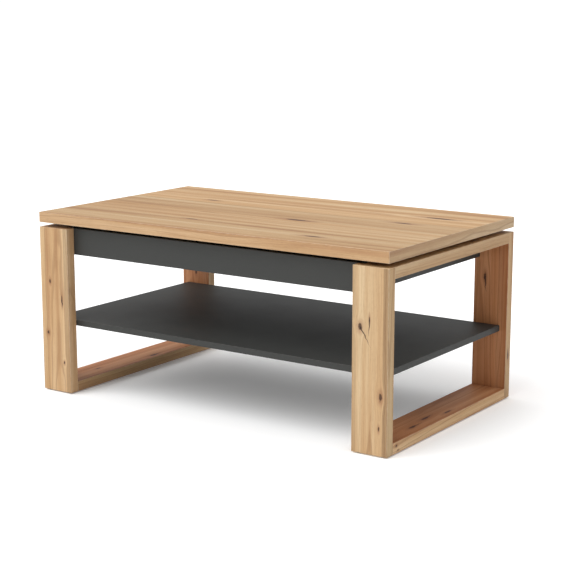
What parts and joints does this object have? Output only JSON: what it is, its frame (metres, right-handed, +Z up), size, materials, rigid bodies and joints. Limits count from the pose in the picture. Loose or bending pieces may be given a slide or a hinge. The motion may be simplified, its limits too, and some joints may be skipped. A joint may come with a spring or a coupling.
{
  "type": "lift top coffee table",
  "caption": "Coffee table on two open board loops, with a shelf, a storage tray and a top that lifts up and back on parallel arms.",
  "frame": {"origin": "on the floor, under the middle of the closed table", "axes": "+X to the right along the length, +Y towards the back, where the top moves as it lifts, +Z up"},
  "size_m": [1.1, 0.65, 0.497],
  "materials": {
    "oak_decor": "knotty oak decor on board, matt with a light grain relief",
    "anthracite_board": "anthracite melamine-faced board, fine matt texture",
    "anthracite_sheet": "thin hard fibreboard, anthracite lacquer",
    "black_steel": "black powder coat, satin",
    "pivot_steel": "blackened steel, satin",
    "zinc_steel": "bright zinc plate",
    "pad_rubber": "matt black rubber",
    "glide_plastic": "matt grey-beige plastic",
    "beech_dowel": "raw fluted beech"
  },
  "bodies": {
    "frame": {"front_leg_left": "oak_decor", "rear_leg_left": "oak_decor", "front_leg_right": "oak_decor", "rear_leg_right": "oak_decor", "top_rail_left": "oak_decor", "bottom_rail_left": "oak_decor", "top_rail_right": "oak_decor", "bottom_rail_right": "oak_decor", "floor_glides": "glide_plastic", "rail_dowels": "beech_dowel", "rail_cam_bolts": "zinc_steel", "rail_cams": "zinc_steel", "shelf_dowels": "beech_dowel", "shelf_cam_bolts": "zinc_steel", "shelf_cams": "zinc_steel", "shelf": "anthracite_board", "tray_front": "anthracite_board", "tray_back": "anthracite_board", "tray_bottom": "anthracite_sheet", "tray_side_left": "anthracite_board", "tray_side_right": "anthracite_board", "base_plate_left": "black_steel", "base_plate_right": "black_steel", "front_base_pins": "pivot_steel", "rear_base_pins": "pivot_steel", "base_spacers": "pivot_steel", "stop_studs": "pivot_steel", "stop_pads": "pad_rubber", "tray_dowels": "beech_dowel", "tray_rail_screws": "zinc_steel", "base_plate_screws": "zinc_steel"},
    "rear_arms": {"rear_arm_left": "black_steel", "rear_arm_right": "black_steel", "cross_bar": "black_steel", "cross_bar_screws": "zinc_steel"},
    "lift_top": {"table_top": "oak_decor", "top_bracket_left": "black_steel", "top_bracket_right": "black_steel", "bracket_screws": "zinc_steel", "front_top_pins": "pivot_steel", "rear_top_pins": "pivot_steel", "top_spacers": "pivot_steel"},
    "front_arm_left": {"front_arm_left": "black_steel"},
    "front_arm_right": {"front_arm_right": "black_steel"}
  },
  "joints": [
    {"name": "lift", "type": "hinge", "parent": "frame", "child": "rear_arms", "pos_m": [0, 0.1735, 0.445], "axis": [-1, 0, 0], "range_deg": [0, 121.5]},
    {"name": "top_level", "type": "hinge", "parent": "rear_arms", "child": "lift_top", "pos_m": [0, 0.05387, 0.43558], "axis": [-1, 0, 0], "range_deg": [-121.5, 0]},
    {"name": "front_arm_left_swing", "type": "hinge", "parent": "frame", "child": "front_arm_left", "pos_m": [-0.4445, 0.1035, 0.445], "axis": [-1, 0, 0], "range_deg": [0, 121.5]},
    {"name": "front_arm_right_swing", "type": "hinge", "parent": "frame", "child": "front_arm_right", "pos_m": [0.4445, 0.1035, 0.445], "axis": [-1, 0, 0], "range_deg": [0, 121.5]}
  ],
  "couplings": [
    {"joint": "top_level", "follows": "lift", "ratio": -1},
    {"joint": "front_arm_left_swing", "follows": "lift", "ratio": 1},
    {"joint": "front_arm_right_swing", "follows": "lift", "ratio": 1}
  ]
}
